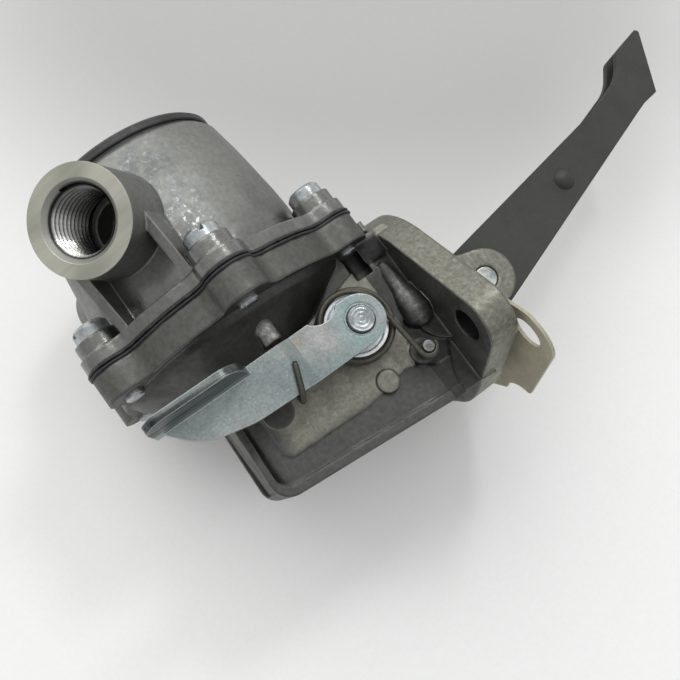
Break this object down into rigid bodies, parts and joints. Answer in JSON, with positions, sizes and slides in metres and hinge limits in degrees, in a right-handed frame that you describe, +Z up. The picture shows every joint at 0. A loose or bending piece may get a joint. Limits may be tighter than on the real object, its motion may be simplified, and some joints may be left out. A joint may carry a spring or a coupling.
{
  "type": "diaphragm lift pump",
  "caption": "Engine-driven diaphragm pump with rocker arm, threaded side ports, screwed body joint and sprung hand priming lever.",
  "frame": {"origin": "midway between the two mounting bolt holes, on the machined face that meets the engine", "axes": "+X into the engine along the rocker arm, +Z up the diaphragm axis to the cap, -Y the side with the priming lever"},
  "size_m": [0.1887, 0.0856, 0.1168],
  "materials": {
    "lower_casting": "die cast, dull",
    "upper_casting": "die cast, port faces machined",
    "cap_steel": "charcoal paint on pressed steel",
    "plated_steel": "bright zinc plate",
    "blue_zinc": "bluish zinc plate on pressed steel",
    "plain_steel": "plain turned or pressed steel",
    "spring_steel": "drawn wire",
    "lever_spring_steel": "drawn wire, oiled olive",
    "arm_steel": "pressed steel, phosphated",
    "brass": "turned",
    "black_rubber": "matte",
    "valve_fibre": "matte",
    "gasket_fibre": "cream compressed fibre sheet"
  },
  "bodies": {
    "body": {"lower_body": "lower_casting", "upper_body": "upper_casting", "top_cap": "cap_steel", "cap_bolt": "plated_steel", "cap_bolt_washer": "brass", "cap_gasket": "black_rubber", "strainer": "brass", "inlet_valve_seat": "brass", "inlet_valve_spring": "spring_steel", "inlet_valve_stem": "brass", "outlet_valve_seat": "brass", "outlet_valve_spring": "spring_steel", "outlet_valve_stem": "brass", "body_screws": "plated_steel", "diaphragm_upper_ply": "black_rubber", "diaphragm_lower_ply": "black_rubber", "diaphragm_spring": "spring_steel", "spring_seat": "plain_steel", "rod_seal": "black_rubber", "rocker_pin": "plated_steel", "thrust_washers": "plain_steel", "rocker_spring": "spring_steel", "priming_spring": "lever_spring_steel", "spring_anchor": "plain_steel", "core_plug": "plain_steel", "mounting_gasket": "gasket_fibre"},
    "rocker": {"rocker_arm": "arm_steel"},
    "link": {"link_lever": "plain_steel"},
    "diaphragm_stack": {"upper_plate": "plain_steel", "lower_plate": "plain_steel", "pull_rod": "plain_steel"},
    "priming": {"priming_shaft": "plated_steel", "shaft_oring": "black_rubber", "shaft_clip": "spring_steel", "cup_washer": "blue_zinc", "priming_lever": "blue_zinc"},
    "inlet_valve": {"inlet_valve_disc": "valve_fibre"},
    "outlet_valve": {"outlet_valve_disc": "valve_fibre"}
  },
  "joints": [
    {"name": "rocker_pivot", "type": "hinge", "parent": "body", "child": "rocker", "pos_m": [0.0089, 0, 0.0068], "axis": [0, -1, 0], "range_deg": [0, 6], "stiffness_Nm_per_rad": 0.5, "springref_deg": -11.46, "deforming": ["rocker_spring"]},
    {"name": "link_pivot", "type": "hinge", "parent": "body", "child": "link", "pos_m": [0.0089, 0, 0.0068], "axis": [0, -1, 0], "range_deg": [0, 6]},
    {"name": "diaphragm_stroke", "type": "slide", "parent": "body", "child": "diaphragm_stack", "axis": [0, 0, -1], "range_m": [0, 0.0059], "deforming": ["diaphragm_spring", "diaphragm_upper_ply", "diaphragm_lower_ply"]},
    {"name": "priming_pivot", "type": "hinge", "parent": "body", "child": "priming", "pos_m": [-0.0275, 0, 0.01535], "axis": [0, -1, 0], "range_deg": [0, 34], "stiffness_Nm_per_rad": 0.05, "springref_deg": -17.19, "deforming": ["priming_spring"]},
    {"name": "inlet_valve_lift", "type": "slide", "parent": "body", "child": "inlet_valve", "axis": [0, 0, -1], "range_m": [0, 0.0012], "stiffness_N_per_m": 40, "springref_m": -0.001, "deforming": ["inlet_valve_spring"]},
    {"name": "outlet_valve_lift", "type": "slide", "parent": "body", "child": "outlet_valve", "axis": [0, 0, 1], "range_m": [0, 0.0012], "stiffness_N_per_m": 40, "springref_m": -0.001, "deforming": ["outlet_valve_spring"]}
  ],
  "couplings": [
    {"joint": "link_pivot", "follows": "rocker_pivot", "ratio": 1},
    {"joint": "diaphragm_stroke", "follows": "rocker_pivot", "m_per_rad": 0.0563}
  ]
}
